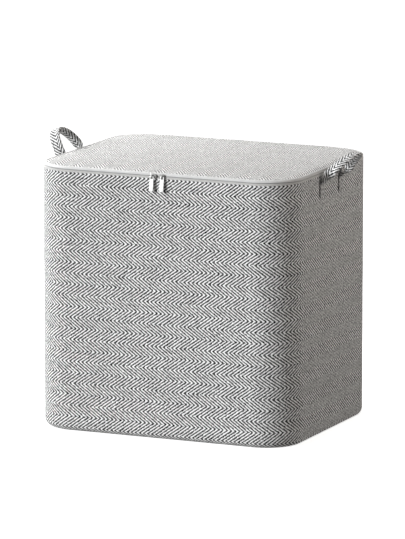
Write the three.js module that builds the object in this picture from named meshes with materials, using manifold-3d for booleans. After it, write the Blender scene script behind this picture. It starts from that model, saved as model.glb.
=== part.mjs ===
// Fabric storage bin with a zipped lid, two zip sliders with pull tabs, and two strap handles.
// Millimetres, +Z up. The origin is the middle of the underside; the zip's sliders face -Y.
import * as THREE from "three";
import { mergeVertices } from "three/addons/utils/BufferGeometryUtils.js";
import Module from "manifold-3d";

const wasm = await Module();
wasm.setup();

// ---- driving dimensions ----
const width = 500; // along X
const depth = 400; // along Y
const height = 480; // underside to the top of the lid
const cornerRadius = 72; // plan radius of the four upright corners
const bottomRounding = 14; // edge between the walls and the base
const lidRounding = 5; // edge between the lid's side and its top

const fabricThickness = 1.2;
const liningThickness = 0.8;
const wallBoardThickness = 2.5;
const baseBoardThickness = 4;
const lidBoardThickness = 6;
const seamGap = 0.3; // between pieces that are sewn, glued or laid together

const baseFabricInset = 20; // how far the wall fabric is turned under the base

const partingGap = 1.3; // open line between the body's tape and the lid's tape
const lidEdgeHeight = 4.3; // upright part of the lid's edge tape, up to the lid's top
const bodyTapeHeight = 3.8; // part of the body's zip tape that shows
const lidTapeReach = 6.5; // how far the edge tape runs in over the lid's top
const lidBoardInset = 8.5;
const coilInset = 2.7;
const coilWidth = 2;
const coilHeight = 1.7;

const hingeStripThickness = 1;
const backStraightMargin = 7; // from the hinge strip's end to the start of the corner
const hingeStripBelowTop = 0.4; // hinge strip's top edge under the lid's top
const endTabWidth = 14;
const endTabHeight = 11;
const endTabThickness = 0.8;
const endTabDrop = 10.5; // top of the end tab under the lid's top
const zipStopLength = 3;

const sliderLength = 13;
const sliderPlateHeight = 8.4;
const sliderPlateThickness = 2.2;
const sliderClearance = 0.35;
const sliderWebThickness = 0.6;
const sliderBackThickness = 1;
const sliderRestOffset = 8; // slider's middle from the bin's middle, lid fully closed
const bridgeOffset = 2; // bridge's middle from the slider's middle, away from the bin's middle
const bridgeWidth = 2.4;
const bridgeThickness = 1.1;
const bridgeWindow = 3.5; // height of the window under the bridge

const pullLength = 28;
const pullWidth = 8.4;
const pullThickness = 1.3;
const pullEyeClearance = 0.6;
const pullEyeLength = 4.5;
const pullCornerRadius = 1.6;
const pullRestTilt = 8; // degrees out from the wall

const strapWidth = 20;
const strapThickness = 4.5; // folded strap where it is free
const footThickness = 3; // and where it is stitched flat
const handleSpacing = 85; // between the middles of the two feet
const handleCentreY = -8;
const footHeight = 24;
const footTopBelowLid = 24;
const footToAxis = 1.5; // handle's fold line above the foot's top
const foldClearance = 1.2; // fold line out from the foot's outer face
const loopStart = 2.2; // first part of the loop from its fold line
const loopRise = 61; // how far the loop stands beyond its start
const loopBow = 12; // how far its top bows outwards
const loopFlatRun = 2; // stretch before the strap begins to twist
const loopTwistRun = 25; // stretch over which it twists
// degrees, from upright and from flat on the wall; a strap can twist either way
const rightHandle = { lean: 30, twist: 120 };
const leftHandle = { lean: 22, twist: -90 };
const patchMargin = 10; // inner patch beyond the feet, each way

const cornerSegments = 9;
const roundingSegments = 3;
const loopSegments = 28;

// ---- derived places ----
const wallBoardInset = fabricThickness + seamGap;
const wallLiningInset = wallBoardInset + wallBoardThickness + seamGap;
const interiorInset = wallLiningInset + liningThickness;
const lidBottom = height - lidEdgeHeight;
const bodyTop = lidBottom - partingGap;
const wallTop = bodyTop - bodyTapeHeight - seamGap;
const baseBoardBottom = fabricThickness + seamGap;
const baseLiningBottom = baseBoardBottom + baseBoardThickness + seamGap;
const baseLiningInset = Math.max(interiorInset + seamGap, clearOfTurnUnder(baseLiningBottom));
const wallLiningBottom = baseLiningBottom + liningThickness + seamGap;
const hingeStripHalf = width / 2 - cornerRadius - backStraightMargin;
const footTop = height - footTopBelowLid;
const footBottom = footTop - footHeight;
const partingMiddle = (bodyTop + lidBottom) / 2;

// The smallest inset at which a piece at this height lies clear inside the rounded bottom edge
// of the wall fabric. The curve is drawn as chords, so its clear radius is a little smaller.
function clearOfTurnUnder(z) {
  const radius = (bottomRounding - fabricThickness) * Math.cos(Math.PI / 4 / roundingSegments);
  const run = Math.sqrt(Math.max(0, radius ** 2 - (bottomRounding - z) ** 2));
  return bottomRounding - run + seamGap;
}

// ---- solids ----
function solidOf(geometry) {
  const bare = geometry.clone();
  bare.deleteAttribute("normal");
  bare.deleteAttribute("uv");
  const merged = mergeVertices(bare, 1e-3);
  return new wasm.Manifold(
    new wasm.Mesh({
      numProp: 3,
      vertProperties: new Float32Array(merged.attributes.position.array),
      triVerts: new Uint32Array(merged.index.array),
    }),
  );
}

function geometryOf(solid) {
  const mesh = solid.getMesh();
  const geometry = new THREE.BufferGeometry();
  geometry.setAttribute("position", new THREE.BufferAttribute(new Float32Array(mesh.vertProperties), 3));
  geometry.setIndex(new THREE.BufferAttribute(new Uint32Array(mesh.triVerts), 1));
  geometry.computeVertexNormals();
  return geometry;
}

function block(low, high) {
  const geometry = new THREE.BoxGeometry(high[0] - low[0], high[1] - low[1], high[2] - low[2]);
  geometry.translate((low[0] + high[0]) / 2, (low[1] + high[1]) / 2, (low[2] + high[2]) / 2);
  return solidOf(geometry);
}

// The bin's plan outline, moved in from the outer wall.
function planOutline(inset) {
  const x = width / 2 - inset;
  const y = depth / 2 - inset;
  const r = cornerRadius - inset;
  const quarter = Math.PI / 2;
  const shape = new THREE.Shape();
  shape.moveTo(x, r - y);
  shape.lineTo(x, y - r);
  shape.absarc(x - r, y - r, r, 0, quarter);
  shape.lineTo(r - x, y);
  shape.absarc(r - x, y - r, r, quarter, 2 * quarter);
  shape.lineTo(-x, r - y);
  shape.absarc(r - x, r - y, r, 2 * quarter, 3 * quarter);
  shape.lineTo(x - r, -y);
  shape.absarc(x - r, r - y, r, 3 * quarter, 4 * quarter);
  return shape;
}

function slab(inset, bottom, top) {
  const geometry = new THREE.ExtrudeGeometry(planOutline(inset), {
    depth: top - bottom,
    bevelEnabled: false,
    curveSegments: cornerSegments,
  });
  geometry.translate(0, 0, bottom);
  return solidOf(geometry);
}

// A slab whose top and bottom edges are both rounded.
function pillow(inset, bottom, top, rounding) {
  const geometry = new THREE.ExtrudeGeometry(planOutline(inset), {
    depth: top - bottom - 2 * rounding,
    bevelThickness: rounding,
    bevelSize: rounding,
    bevelOffset: -rounding,
    bevelSegments: roundingSegments,
    curveSegments: cornerSegments,
  });
  geometry.translate(0, 0, bottom + rounding);
  return solidOf(geometry);
}

function everythingBetween(bottom, top) {
  return block([-width, -depth, bottom], [width, depth, top]);
}

// Rounded at the bottom, cut flat at the top.
function cup(inset, bottom, top, rounding) {
  return pillow(inset, bottom, top + 2 * rounding, rounding).intersect(everythingBetween(bottom - 1, top));
}

// Rounded at the top, cut flat at the bottom.
function cap(inset, bottom, top, rounding) {
  return pillow(inset, bottom - 2 * rounding, top, rounding).intersect(everythingBetween(bottom, top + 1));
}

function ring(inset, thickness, bottom, top) {
  return slab(inset, bottom, top).subtract(slab(inset + thickness, bottom - 1, top + 1));
}

// Leaves out the straight run at the back, where the hinge strip is.
function openAtBack(solid, bottom, top) {
  const half = hingeStripHalf + seamGap;
  return solid.subtract(block([-half, 0, bottom - 1], [half, depth, top + 1]));
}

// ---- body ----
function wallFabric() {
  const inner = cup(fabricThickness, fabricThickness, height, bottomRounding - fabricThickness);
  return cup(0, 0, wallTop, bottomRounding)
    .subtract(inner)
    .subtract(slab(baseFabricInset, -1, 2 * fabricThickness));
}

function baseFabric() {
  return slab(baseFabricInset + seamGap, 0, fabricThickness);
}

function wallBoard(side) {
  const whole = ring(wallBoardInset, wallBoardThickness, bottomRounding + seamGap, wallTop);
  const nearY = side * (seamGap / 2);
  const farY = side * depth;
  return whole.intersect(block([-width, Math.min(nearY, farY), 0], [width, Math.max(nearY, farY), height]));
}

function baseBoard() {
  return slab(bottomRounding + seamGap, baseBoardBottom, baseBoardBottom + baseBoardThickness);
}

// Follows the rounded bottom edge inwards, down to the base lining.
function wallLining() {
  const outer = cup(wallLiningInset, wallLiningInset, wallTop, bottomRounding - wallLiningInset);
  const inner = cup(interiorInset, interiorInset, height, bottomRounding - interiorInset);
  return outer.subtract(inner).intersect(everythingBetween(wallLiningBottom, height));
}

function baseLining() {
  return slab(baseLiningInset, baseLiningBottom, baseLiningBottom + liningThickness);
}

function bodyZipTape() {
  const bottom = wallTop + seamGap;
  return openAtBack(ring(0, fabricThickness, bottom, bodyTop), bottom, bodyTop);
}

function zipCoil(bottom) {
  return openAtBack(ring(coilInset, coilWidth, bottom, bottom + coilHeight), bottom, bottom + coilHeight);
}

function backHingeStrip() {
  const back = depth / 2;
  return block(
    [-hingeStripHalf, back - hingeStripThickness, wallTop + seamGap],
    [hingeStripHalf, back, height - hingeStripBelowTop],
  );
}

function zipEndTab(side) {
  const middle = side * (hingeStripHalf + seamGap);
  const front = depth / 2 + seamGap;
  const top = height - endTabDrop;
  return block(
    [middle - endTabWidth / 2, front, top - endTabHeight],
    [middle + endTabWidth / 2, front + endTabThickness, top],
  );
}

// The stop fills the end of the body's coil channel, just past the coil's cut end.
function zipStop(side) {
  const near = hingeStripHalf - zipStopLength;
  const low = Math.min(side * near, side * hingeStripHalf);
  const back = depth / 2 - coilInset;
  return block([low, back - coilWidth, bodyTop - coilHeight], [low + zipStopLength, back, bodyTop]);
}

// ---- lid ----
function lidEdgeTape() {
  const underside = height - fabricThickness;
  const shell = cap(0, lidBottom, height, lidRounding).subtract(
    cap(fabricThickness, lidBottom - 1, underside, lidRounding - fabricThickness),
  );
  return openAtBack(shell.subtract(slab(lidTapeReach, lidBottom - 1, height + 1)), lidBottom, height);
}

function lidFabric() {
  const bottom = height - fabricThickness;
  const panel = slab(lidTapeReach + seamGap, bottom, height);
  const back = depth / 2;
  const tongue = block(
    [-hingeStripHalf, back - 2 * lidTapeReach, bottom],
    [hingeStripHalf, back - hingeStripThickness - seamGap, height],
  );
  return panel.add(tongue);
}

function lidBoard() {
  const top = height - fabricThickness - seamGap;
  return slab(lidBoardInset, top - lidBoardThickness, top);
}

function lidLining() {
  const top = height - fabricThickness - lidBoardThickness - 2 * seamGap;
  return slab(lidBoardInset, top - liningThickness, top);
}

// ---- zip sliders and pulls, each built about its own middle with the wall's face at y = 0 ----
const plateBack = -sliderClearance;
const plateFront = plateBack - sliderPlateThickness;
const pullAxisY = plateFront - sliderClearance - pullThickness / 2;
const bridgeBack = pullAxisY - pullThickness / 2 - sliderClearance;
const bridgeFront = bridgeBack - bridgeThickness;

function slider(side) {
  const half = sliderLength / 2;
  const plateHalf = sliderPlateHeight / 2;
  const webHalf = sliderWebThickness / 2;
  const backStart = interiorInset + seamGap;
  const backEnd = backStart + sliderBackThickness;
  const bridgeX = side * bridgeOffset;
  const bridgeHalf = bridgeWindow / 2 + bridgeThickness;
  const plate = block([-half, plateFront, -plateHalf], [half, plateBack, plateHalf]);
  const web = block([-half, plateBack - 1, -webHalf], [half, backStart + 0.5, webHalf]);
  const backPlate = block([-half, backStart, -plateHalf + 1], [half, backEnd, webHalf]);
  const bridge = block(
    [bridgeX - bridgeWidth / 2, bridgeFront, -bridgeHalf],
    [bridgeX + bridgeWidth / 2, plateFront + 0.5, bridgeHalf],
  ).subtract(
    block([-half, bridgeBack, -bridgeWindow / 2], [half, plateFront, bridgeWindow / 2]),
  );
  return plate.add(web).add(backPlate).add(bridge);
}

// A flat tab that hangs from its top bar, which is the hinge line at the origin.
function pullTab() {
  const bar = pullThickness / 2;
  const half = pullWidth / 2;
  const r = pullCornerRadius;
  const eyeHalf = bridgeWidth / 2 + pullEyeClearance;
  const bottom = bar - pullLength;
  const shape = new THREE.Shape();
  shape.moveTo(-half, bar);
  shape.lineTo(-half, bottom + r);
  shape.absarc(r - half, bottom + r, r, Math.PI, 1.5 * Math.PI);
  shape.lineTo(half - r, bottom);
  shape.absarc(half - r, bottom + r, r, 1.5 * Math.PI, 2 * Math.PI);
  shape.lineTo(half, bar);
  const eye = new THREE.Path();
  eye.moveTo(-eyeHalf, -bar);
  eye.lineTo(eyeHalf, -bar);
  eye.lineTo(eyeHalf, -bar - pullEyeLength);
  eye.lineTo(-eyeHalf, -bar - pullEyeLength);
  eye.closePath();
  shape.holes.push(eye);
  const geometry = new THREE.ExtrudeGeometry(shape, {
    depth: pullThickness,
    bevelEnabled: false,
    curveSegments: 3,
  });
  geometry.translate(0, 0, -pullThickness / 2);
  geometry.rotateX(Math.PI / 2);
  return solidOf(geometry);
}

// ---- handles ----
const footOuter = width / 2 + seamGap + footThickness;
const handleAxisX = footOuter + foldClearance;
const handleAxisZ = footTop + footToAxis;

function handleFoot(side, end) {
  const y = handleCentreY + (end * handleSpacing) / 2;
  const x = side * (footOuter - footThickness / 2);
  return block(
    [x - footThickness / 2, y - strapWidth / 2, footBottom],
    [x + footThickness / 2, y + strapWidth / 2, footTop],
  );
}

// A strap arch: +Z up the loop from its fold line, +Y along the bin, +X away from the wall.
// Each end leaves the wall flat against it and then twists, so that the top lies flat in the hand.
function handleLoop(twist) {
  const geometry = new THREE.BoxGeometry(strapWidth, strapThickness, 1, 1, 1, loopSegments);
  const position = geometry.attributes.position;
  const outwards = new THREE.Vector3(1, 0, 0);
  for (let i = 0; i < position.count; i += 1) {
    const angle = Math.PI * (position.getZ(i) + 0.5);
    const s = Math.sin(angle);
    const c = Math.cos(angle);
    const centre = new THREE.Vector3(loopBow * s * s, -0.5 * handleSpacing * c, loopStart + loopRise * s);
    const along = new THREE.Vector3(2 * loopBow * s * c, 0.5 * handleSpacing * s, loopRise * c).normalize();
    const radial = new THREE.Vector3().crossVectors(outwards, along).normalize();
    const flat = new THREE.Vector3().crossVectors(along, radial);
    const turned = THREE.MathUtils.smoothstep(loopRise * s, loopFlatRun, loopFlatRun + loopTwistRun);
    const angleTurned = turned * THREE.MathUtils.degToRad(twist);
    const face = flat.multiplyScalar(Math.cos(angleTurned)).addScaledVector(radial, Math.sin(angleTurned));
    const across = new THREE.Vector3().crossVectors(face, along);
    centre.addScaledVector(across, position.getX(i)).addScaledVector(face, position.getY(i));
    position.setXYZ(i, centre.x, centre.y, centre.z);
  }
  return solidOf(geometry);
}

function innerPatch(side) {
  const x = side * (width / 2 - interiorInset - seamGap - liningThickness / 2);
  const halfRun = (handleSpacing + strapWidth) / 2 + patchMargin;
  return block(
    [x - liningThickness / 2, handleCentreY - halfRun, footBottom - patchMargin],
    [x + liningThickness / 2, handleCentreY + halfRun, footTop],
  );
}

// ---- assembly ----
const finishes = {
  herringbone: { color: 0xb4b2ae, roughness: 0.95, metalness: 0 },
  tape: { color: 0xcfccc8, roughness: 0.8, metalness: 0 },
  lining: { color: 0xc4c3c0, roughness: 0.9, metalness: 0 },
  board: { color: 0xd8d6d0, roughness: 0.7, metalness: 0 },
  coil: { color: 0xa9a7a3, roughness: 0.5, metalness: 0 },
  metal: { color: 0xe6e6e4, roughness: 0.25, metalness: 0.9 },
};

const bin = new THREE.Group();

function addPiece(name, solid, finish, parent = bin) {
  const mesh = new THREE.Mesh(geometryOf(solid), new THREE.MeshStandardMaterial(finishes[finish]));
  mesh.name = name;
  parent.add(mesh);
}

addPiece("wall_fabric", wallFabric(), "herringbone");
addPiece("base_fabric", baseFabric(), "herringbone");
addPiece("wall_board_front", wallBoard(-1), "board");
addPiece("wall_board_back", wallBoard(1), "board");
addPiece("base_board", baseBoard(), "board");
addPiece("wall_lining", wallLining(), "lining");
addPiece("base_lining", baseLining(), "lining");
addPiece("body_zip_tape", bodyZipTape(), "tape");
addPiece("body_zip_coil", zipCoil(bodyTop - coilHeight), "coil");
addPiece("back_hinge_strip", backHingeStrip(), "tape");

const lid = new THREE.Group();
bin.add(lid);
addPiece("lid_edge_tape", lidEdgeTape(), "tape", lid);
addPiece("lid_fabric", lidFabric(), "herringbone", lid);
addPiece("lid_board", lidBoard(), "board", lid);
addPiece("lid_lining", lidLining(), "lining", lid);
addPiece("lid_zip_coil", zipCoil(lidBottom), "coil", lid);

const sides = [
  { name: "left", side: -1, handle: leftHandle },
  { name: "right", side: 1, handle: rightHandle },
];
for (const { name, side, handle } of sides) {
  addPiece(`zip_end_tab_${name}`, zipEndTab(side), "tape");
  addPiece(`zip_stop_${name}`, zipStop(side), "metal");
  addPiece(`handle_patch_${name}`, innerPatch(side), "tape");
  addPiece(`handle_foot_${name}_front`, handleFoot(side, -1), "herringbone");
  addPiece(`handle_foot_${name}_back`, handleFoot(side, 1), "herringbone");

  const sliderGroup = new THREE.Group();
  sliderGroup.position.set(side * sliderRestOffset, -depth / 2, partingMiddle);
  bin.add(sliderGroup);
  addPiece(`slider_${name}`, slider(side), "metal", sliderGroup);

  const pullGroup = new THREE.Group();
  pullGroup.position.set(side * bridgeOffset, pullAxisY, 0);
  pullGroup.rotation.x = -THREE.MathUtils.degToRad(pullRestTilt);
  sliderGroup.add(pullGroup);
  addPiece(`pull_${name}`, pullTab(), "metal", pullGroup);

  const loopGroup = new THREE.Group();
  loopGroup.position.set(side * handleAxisX, handleCentreY, handleAxisZ);
  loopGroup.rotation.y = side * THREE.MathUtils.degToRad(handle.lean);
  bin.add(loopGroup);
  const facing = new THREE.Group();
  facing.rotation.z = side > 0 ? 0 : Math.PI;
  loopGroup.add(facing);
  addPiece(`handle_loop_${name}`, handleLoop(handle.twist), "herringbone", facing);
}

export default bin;
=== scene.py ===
# Looks of the fabric storage bin: woven cover, zip tape, coil teeth, sliders, straps and lining.
# Shapes are written in millimetres and made into metres when a mesh is built.
import math

import bmesh
import bpy
from mathutils import Matrix, Vector, noise


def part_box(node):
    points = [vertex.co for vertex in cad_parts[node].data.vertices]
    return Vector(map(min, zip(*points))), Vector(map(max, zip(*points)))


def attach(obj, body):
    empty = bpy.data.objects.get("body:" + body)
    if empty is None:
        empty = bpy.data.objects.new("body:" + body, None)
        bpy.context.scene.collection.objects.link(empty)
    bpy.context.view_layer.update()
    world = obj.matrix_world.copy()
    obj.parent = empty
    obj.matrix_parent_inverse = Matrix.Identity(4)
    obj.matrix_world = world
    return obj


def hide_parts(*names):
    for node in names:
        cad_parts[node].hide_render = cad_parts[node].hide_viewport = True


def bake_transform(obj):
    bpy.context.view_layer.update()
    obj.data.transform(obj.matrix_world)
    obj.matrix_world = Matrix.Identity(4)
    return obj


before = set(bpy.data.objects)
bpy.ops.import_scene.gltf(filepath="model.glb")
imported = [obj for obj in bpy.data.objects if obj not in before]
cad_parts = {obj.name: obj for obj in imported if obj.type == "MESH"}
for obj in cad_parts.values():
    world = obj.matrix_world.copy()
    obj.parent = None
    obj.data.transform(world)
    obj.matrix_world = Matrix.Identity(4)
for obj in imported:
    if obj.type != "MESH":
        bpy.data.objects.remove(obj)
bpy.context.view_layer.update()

MM = 0.001
WEAVE = "weave"  # the UV map that holds each fabric's own length and width, in metres


def mm_box(node):
    """Lowest and highest corner of a CAD node, in millimetres."""
    return [[c / MM for c in corner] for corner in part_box(node)]


# ---- the bin's own sizes, as the CAD has them ----
_, (HALF_X, HALF_Y, WALL_TOP) = mm_box("wall_fabric")
CORNER = 72.0
BOTTOM_ROUNDING = 14.0
LID_ROUNDING = 5.0
TURN_UNDER = 20.0
FABRIC = 1.0
(_, _, TAPE_BOTTOM), (_, _, TAPE_TOP) = mm_box("body_zip_tape")
(_, _, LID_BOTTOM), (_, _, LID_TOP) = mm_box("lid_edge_tape")
PARTING = (TAPE_TOP + LID_BOTTOM) / 2
HINGE_HALF = mm_box("back_hinge_strip")[1][0]
OPEN_HALF = HINGE_HALF + 0.3
LINING_INSET = 4.35
INTERIOR = 5.1

# ---- plan outline ----
FLAT_X = HALF_X - CORNER
FLAT_Y = HALF_Y - CORNER
ARC = CORNER * math.pi / 2
BREAKS = [0, FLAT_X, FLAT_X + ARC, FLAT_X + ARC + 2 * FLAT_Y, FLAT_X + 2 * ARC + 2 * FLAT_Y]
HALF_ROUND = BREAKS[-1] + FLAT_X


def plan_at(s):
    """(x, y, normal x, normal y) on the wall's outer face, s mm to the right from the middle of the front."""
    side, s = math.copysign(1, s), abs(s)
    if s <= BREAKS[1]:
        x, y, nx, ny = s, -HALF_Y, 0, -1
    elif s <= BREAKS[2]:
        a = (s - BREAKS[1]) / CORNER
        nx, ny = math.sin(a), -math.cos(a)
        x, y = FLAT_X + CORNER * nx, CORNER * ny - FLAT_Y
    elif s <= BREAKS[3]:
        x, y, nx, ny = HALF_X, s - BREAKS[2] - FLAT_Y, 1, 0
    elif s <= BREAKS[4]:
        a = (s - BREAKS[3]) / CORNER
        nx, ny = math.cos(a), math.sin(a)
        x, y = FLAT_X + CORNER * nx, FLAT_Y + CORNER * ny
    else:
        x, y, nx, ny = FLAT_X - (s - BREAKS[4]), HALF_Y, 0, 1
    return side * x, y, side * nx, ny


def stations(step, open_half=0.0, arc_step=5.0):
    """Distances round the plan, from the middle of the back or from the ends of the open run there."""
    ends = BREAKS + [HALF_ROUND - open_half]
    right = [0.0]
    for i in range(len(ends) - 1):
        size = arc_step if i in (1, 3) else step
        count = max(1, round((ends[i + 1] - ends[i]) / size))
        right += [ends[i] + (ends[i + 1] - ends[i]) * k / count for k in range(1, count + 1)]
    left = [-s for s in reversed(right[1:])]
    if not open_half:
        right = right[:-1]
    return left + right


def wall_point(s, inset, z):
    x, y, nx, ny = plan_at(s)
    return (x - inset * nx, y - inset * ny, z)


def smooth(x):
    x = min(1.0, max(0.0, x))
    return x * x * (3 - 2 * x)


# ---- meshes ----
FOLD = 38  # degrees: a sharper fold than this is shaded as an edge


def in_scene(name, data):
    """A new object that holds the data, linked to the scene."""
    obj = bpy.data.objects.new(name, data)
    bpy.context.scene.collection.objects.link(obj)
    return obj


def soften(mesh, angle):
    """Smooth shading with folds sharper than the angle kept, and every face turned outwards."""
    bm = bmesh.new()
    bm.from_mesh(mesh)
    for face in bm.faces:
        face.smooth = True
    bmesh.ops.recalc_face_normals(bm, faces=bm.faces)
    for edge in bm.edges:
        edge.smooth = edge.calc_face_angle(0) < math.radians(angle)
    bm.to_mesh(mesh)
    bm.free()


def make(name, points, faces, uvs, material, angle=FOLD):
    """A mesh object from points in mm, faces, and one (u, v) in mm for each corner of each face."""
    mesh = bpy.data.meshes.new(name)
    mesh.from_pydata([(x * MM, y * MM, z * MM) for x, y, z in points], [], faces)
    layer = mesh.uv_layers.new(name=WEAVE)
    layer.data.foreach_set("uv", [c * MM for face in uvs for corner in face for c in corner])
    mesh.materials.append(material)
    soften(mesh, angle)
    return in_scene(name, mesh)


def tube(rows, around, uv_at, base=0):
    """Faces and their UVs for a capped tube, from rows of points with the same number around in each."""
    faces, uvs = [], []
    for r in range(rows - 1):
        low, high = base + r * around, base + (r + 1) * around
        for k in range(around):
            m = (k + 1) % around
            faces.append((low + k, low + m, high + m, high + k))
            uvs.append((uv_at(r, k), uv_at(r, k + 1), uv_at(r + 1, k + 1), uv_at(r + 1, k)))
    last = base + (rows - 1) * around
    faces += [tuple(base + k for k in reversed(range(around))), tuple(last + k for k in range(around))]
    uvs += [tuple(uv_at(0, k) for k in reversed(range(around))), tuple(uv_at(rows - 1, k) for k in range(around))]
    return faces, uvs


def sweep(name, at, profile, material, closed=True, lift=None):
    """A closed profile of (inset, z, v) carried round the plan at the distances in at."""
    points, faces, uvs = [], [], []
    count = len(profile)
    for s in at:
        for inset, z, _ in profile:
            points.append(wall_point(s, inset - (lift(s, z) if lift else 0), z))
    spans = len(at) if closed else len(at) - 1
    for i in range(spans):
        j = (i + 1) % len(at)
        s0, s1 = at[i], at[j] if j else HALF_ROUND
        for k in range(count):
            m = (k + 1) % count
            faces.append((i * count + k, j * count + k, j * count + m, i * count + m))
            v0, v1 = profile[k][2], profile[m][2]
            uvs.append(((s0, v0), (s1, v0), (s1, v1), (s0, v1)))
    if not closed:
        last = (len(at) - 1) * count
        faces.append(tuple(range(count)))
        uvs.append(tuple((at[0] + inset, v) for inset, _, v in profile))
        faces.append(tuple(last + k for k in reversed(range(count))))
        uvs.append(tuple((at[-1] + inset, v) for inset, _, v in reversed(profile)))
    return make(name, points, faces, uvs, material)


def panel(name, at, inset_at, height_at, thickness, rings, material, turned=False):
    """A laid sheet inside the plan outline. Its rings are shares of the way out from the middle, run outwards
    over the top and back in below, and each point takes its height from height_at."""
    points, faces, uvs = [], [], []
    outline = [wall_point(s, inset_at(s), 0) for s in at]
    count = len(outline)
    grid = []
    for layer in (0, 1):
        for share in rings if layer == 0 else reversed(rings):
            for x, y, _ in outline:
                px, py = x * share, y * share
                points.append((px, py, height_at(px, py) - layer * thickness))
                grid.append((py, px) if turned else (px, py))
    rows = 2 * len(rings)
    for r in range(rows - 1):
        for i in range(count):
            j = (i + 1) % count
            face = (r * count + i, r * count + j, (r + 1) * count + j, (r + 1) * count + i)
            faces.append(face)
            uvs.append(tuple(grid[q] for q in face))
    # the first and last rings are closed with a fan round the middle
    middle, last = len(points), (rows - 1) * count
    points += [(0, 0, height_at(0, 0)), (0, 0, height_at(0, 0) - thickness)]
    for i in range(count):
        j = (i + 1) % count
        faces.append((j, i, middle))
        uvs.append((grid[j], grid[i], (0, 0)))
        faces.append((last + i, last + j, middle + 1))
        uvs.append((grid[last + i], grid[last + j], (0, 0)))
    return make(name, points, faces, uvs, material)


def stitches(name, seats, material, length=3.0, radius=0.28):
    """Short arched threads. Each seat is (point, direction along the seam, outward normal), in mm."""
    around, shares = 6, (-1.0, -0.72, 0.0, 0.72, 1.0)
    end_thickness = 0.45  # share of the thickness at the middle
    proud, dip = 0.55, 1.25  # radii that the middle stands out, and that the ends are below it
    points, faces, uvs = [], [], []
    for point, along, out in seats:
        p, t, n = Vector(point), Vector(along).normalized(), Vector(out).normalized()
        b = t.cross(n)
        base = len(points)
        for share in shares:
            thin = radius * (end_thickness + (1 - end_thickness) * (1 - share**4))
            middle = p + t * (share * length / 2) + n * (radius * (proud - dip * share * share))
            for k in range(around):
                a = 2 * math.pi * k / around
                points.append(tuple(middle + (b * math.cos(a) + n * math.sin(a)) * thin))
        more_faces, more_uvs = tube(len(shares), around, lambda r, k: (shares[r] * length / 2, k * radius), base)
        faces += more_faces
        uvs += more_uvs
    return make(name, points, faces, uvs, material, 80)


def seam_round(inset, z, out, up, pitch, open_half=0.0):
    """Seats for a row of stitches round the plan, on cloth that faces out from the bin by out and up by up."""
    run = 2 * (HALF_ROUND - open_half)
    count = round(run / pitch)
    seats = []
    for k in range(count):
        s = -run / 2 + run * (k + 0.5) / count
        _, _, nx, ny = plan_at(s)
        seats.append((wall_point(s, inset, z), (-ny, nx, 0), (out * nx, out * ny, up)))
    return seats


# ---- materials ----
class Nodes:
    """A material's node tree, built with short calls."""

    def __init__(self, name):
        self.material = bpy.data.materials.new(name)
        self.material.use_nodes = True
        self.tree = self.material.node_tree
        self.shader = next(n for n in self.tree.nodes if n.type == "BSDF_PRINCIPLED")

    def put(self, socket, value):
        if isinstance(value, bpy.types.NodeSocket):
            self.tree.links.new(value, socket)
        else:
            socket.default_value = value

    def add(self, kind, settings=None, **inputs):
        node = self.tree.nodes.new("ShaderNode" + kind)
        for key, value in (settings or {}).items():
            setattr(node, key, value)
        for key, value in inputs.items():
            self.put(node.inputs[key.replace("_", " ")], value)
        return node

    def math(self, operation, a, b=None):
        node = self.tree.nodes.new("ShaderNodeMath")
        node.operation = operation
        self.put(node.inputs[0], a)
        if b is not None:
            self.put(node.inputs[1], b)
        return node.outputs[0]

    def plus(self, a, b):
        return self.math("ADD", a, b)

    def minus(self, a, b):
        return self.math("SUBTRACT", a, b)

    def times(self, a, b):
        return self.math("MULTIPLY", a, b)

    def over(self, a, b):
        return self.math("DIVIDE", a, b)

    def valley(self, part):
        """1 at both ends of a part that runs from 0 to 1, and 0 at its middle."""
        return self.math("ABSOLUTE", self.minus(self.times(part, 2.0), 1.0))

    def crown(self, part, power=None):
        """0 at both ends of a part and 1 at its middle, and flatter there with a higher power."""
        bow = self.valley(part)
        return self.minus(1.0, self.math("POWER", bow, power) if power else bow)

    def mix(self, factor, a, b, blend="MIX"):
        node = self.tree.nodes.new("ShaderNodeMix")
        node.data_type, node.blend_type = "RGBA", blend
        self.put(node.inputs[0], factor)
        self.put(node.inputs[6], a)
        self.put(node.inputs[7], b)
        return node.outputs[2]

    def span(self, value, low, high, to_low=0.0, to_high=1.0):
        """The value's run from low to high, carried over to another run and held at its ends."""
        return self.add("MapRange", Value=value, From_Min=low, From_Max=high,
                        To_Min=to_low, To_Max=to_high).outputs[0]

    def toned(self, colour, tone):
        """A colour multiplied by a grey."""
        grey = self.add("CombineColor", Red=tone, Green=tone, Blue=tone).outputs[0]
        return self.mix(1.0, colour, grey, "MULTIPLY")

    def cloth_uv(self):
        return self.add("UVMap", {"uv_map": WEAVE}).outputs[0]

    def place(self):
        return self.add("TexCoord").outputs["Object"]

    def split(self, vector):
        node = self.add("SeparateXYZ", Vector=vector)
        return node.outputs[0], node.outputs[1]

    def noise(self, vector, scale, detail=2.0, stretch=None):
        if stretch:
            vector = self.add("Mapping", Vector=vector, Scale=stretch).outputs[0]
        return self.add("TexNoise", Vector=vector, Scale=scale, Detail=detail).outputs[0]

    def white(self, a, b):
        vector = self.add("CombineXYZ", X=a, Y=b).outputs[0]
        return self.add("TexWhiteNoise", {"noise_dimensions": "2D"}, Vector=vector).outputs[0]

    def bump(self, height, strength, distance):
        node = self.add("Bump", Height=height, Strength=strength, Distance=distance)
        self.put(self.shader.inputs["Normal"], node.outputs[0])

    def finish(self, colour, roughness, **fixed):
        self.put(self.shader.inputs["Base Color"], colour)
        self.put(self.shader.inputs["Roughness"], roughness)
        for key, value in fixed.items():
            self.shader.inputs[key.replace("_", " ")].default_value = value
        return self.material


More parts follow.
